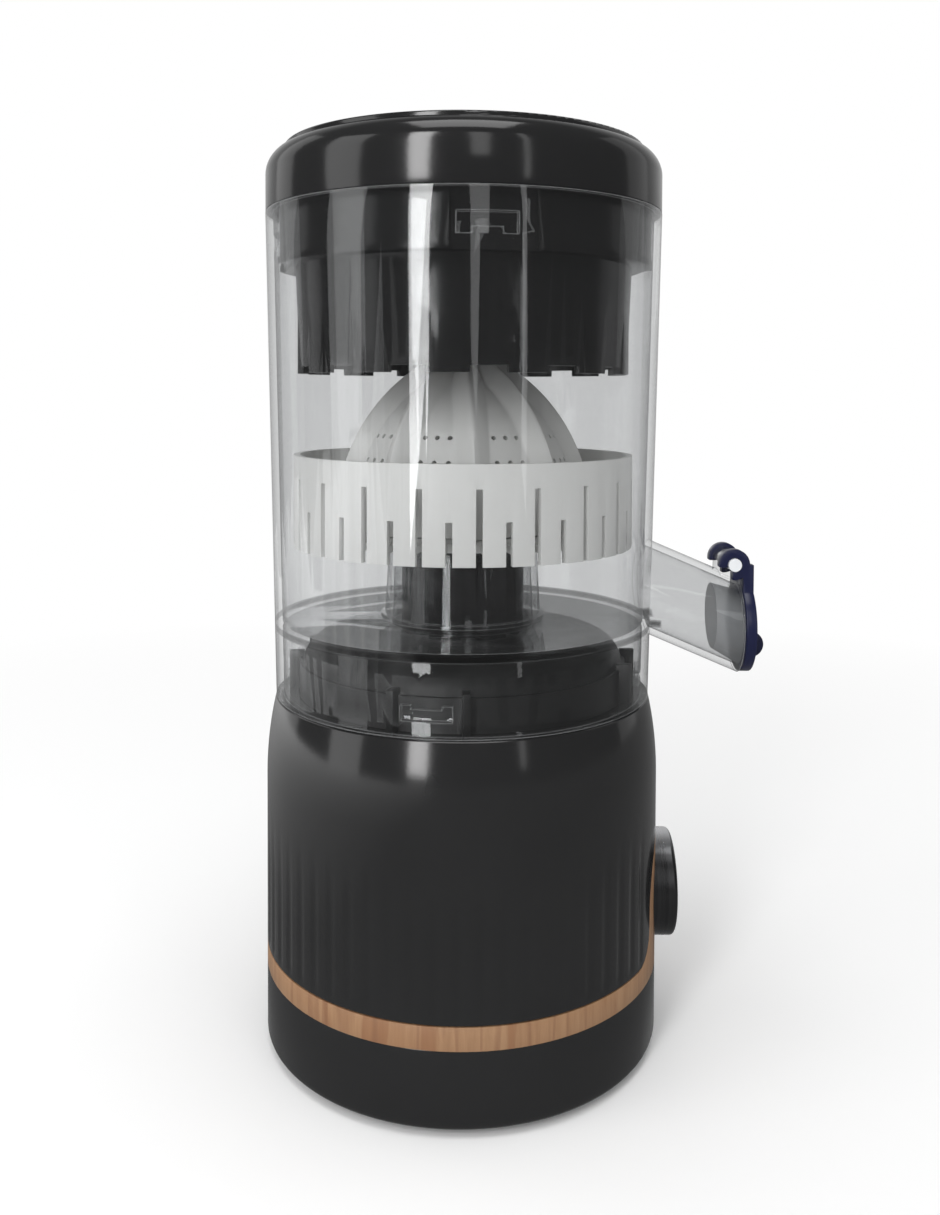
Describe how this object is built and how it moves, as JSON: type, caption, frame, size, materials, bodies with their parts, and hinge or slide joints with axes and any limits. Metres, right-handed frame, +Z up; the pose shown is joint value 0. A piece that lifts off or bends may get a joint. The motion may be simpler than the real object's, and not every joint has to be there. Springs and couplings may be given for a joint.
{
  "type": "citrus press juicer",
  "caption": "Cordless citrus juicer: clear cup with side spout on a drum base, turning reamer in a strainer, and a press-down lid with a toothed press cup.",
  "frame": {"origin": "on the upright axis, at the face of the foot ring that stands on the table", "axes": "+Z up along the axis of the cup, +X towards the spout and the button"},
  "size_m": [0.1463, 0.1156, 0.2583],
  "materials": {
    "charcoal_shell": "satin charcoal moulded plastic",
    "lid_shell": "polished charcoal moulded plastic",
    "press_black": "glossy dark moulded plastic",
    "hub_black": "glossy black moulded plastic",
    "wood_trim": "honey brown wood with upright grain, clear lacquer",
    "foot_rubber": "matt black rubber",
    "seal_rubber": "matt black rubber",
    "clear_cup": "clear moulded plastic, faintly smoky",
    "frosted_pin": "frosted translucent plastic",
    "navy_plastic": "glossy navy plastic",
    "grey_silicone": "grey silicone rubber",
    "white_plastic": "white food-safe moulded plastic",
    "button_metal": "dark metal, turned edge",
    "steel": "plain steel",
    "brass": "turned brass",
    "gear_nylon": "natural nylon",
    "case_plastic": "matt dark plastic",
    "cell_wrap": "shrink-wrapped cell",
    "board_green": "solder-masked board"
  },
  "bodies": {
    "base": {"base_housing": "charcoal_shell", "base_bowl": "charcoal_shell", "wood_trim": "wood_trim", "foot_ring": "foot_rubber", "drive_deck": "charcoal_shell", "shaft_seal": "seal_rubber", "gear_case_lower": "case_plastic", "gear_case_upper": "case_plastic", "motor_can": "steel", "idler_pin": "steel", "shaft_bushes": "brass", "battery_cells": "cell_wrap", "battery_cradle": "case_plastic", "control_board": "board_green", "charge_socket": "steel", "button_guide": "case_plastic", "button_spring": "steel", "power_switch": "case_plastic", "switch_bracket": "board_green", "housing_screws": "steel", "deck_screws": "steel", "gear_case_screws": "steel", "motor_screws": "steel"},
    "drive": {"output_shaft": "steel", "output_gear": "gear_nylon", "drive_hub": "hub_black", "hub_screw": "steel"},
    "idler": {"idler_gear": "gear_nylon"},
    "rotor": {"motor_pinion": "brass"},
    "button": {"button_cap": "button_metal"},
    "cup": {"juice_cup": "clear_cup", "flap_pin": "frosted_pin"},
    "flap": {"spout_flap": "navy_plastic", "flap_plug": "grey_silicone"},
    "strainer": {"strainer_basket": "white_plastic"},
    "reamer": {"reamer_cone": "white_plastic"},
    "lid": {"lid_cap": "lid_shell", "press_cup": "press_black"}
  },
  "joints": [
    {"name": "drive_spin", "type": "hinge", "parent": "base", "child": "drive", "pos_m": [0, 0, 0.12], "axis": [0, 0, 1], "continuous": true},
    {"name": "idler_spin", "type": "hinge", "parent": "base", "child": "idler", "pos_m": [-0.03, 0, 0.075], "axis": [0, 0, 1], "continuous": true},
    {"name": "rotor_spin", "type": "hinge", "parent": "base", "child": "rotor", "pos_m": [-0.01873, 0.02119, 0.07], "axis": [0, 0, 1], "continuous": true},
    {"name": "button_press", "type": "slide", "parent": "base", "child": "button", "axis": [-1, 0, 0], "range_m": [0, 0.0015], "stiffness_N_per_m": 800},
    {"name": "cup_lift", "type": "slide", "parent": "base", "child": "cup", "axis": [0, 0, 1], "range_m": [0, 0.07]},
    {"name": "flap_swing", "type": "hinge", "parent": "cup", "child": "flap", "pos_m": [0.0791, 0, 0.13806], "axis": [0, -1, 0], "range_deg": [0, 100]},
    {"name": "strainer_lift", "type": "slide", "parent": "cup", "child": "strainer", "axis": [0, 0, 1], "range_m": [0, 0.018]},
    {"name": "reamer_spin", "type": "hinge", "parent": "strainer", "child": "reamer", "pos_m": [0, 0, 0.16], "axis": [0, 0, 1], "continuous": true},
    {"name": "lid_lift", "type": "slide", "parent": "cup", "child": "lid", "axis": [0, 0, 1], "range_m": [0, 0.06]}
  ],
  "couplings": [
    {"joint": "idler_spin", "follows": "drive_spin", "ratio": -4},
    {"joint": "rotor_spin", "follows": "drive_spin", "ratio": 16},
    {"joint": "reamer_spin", "follows": "drive_spin", "ratio": 1}
  ]
}
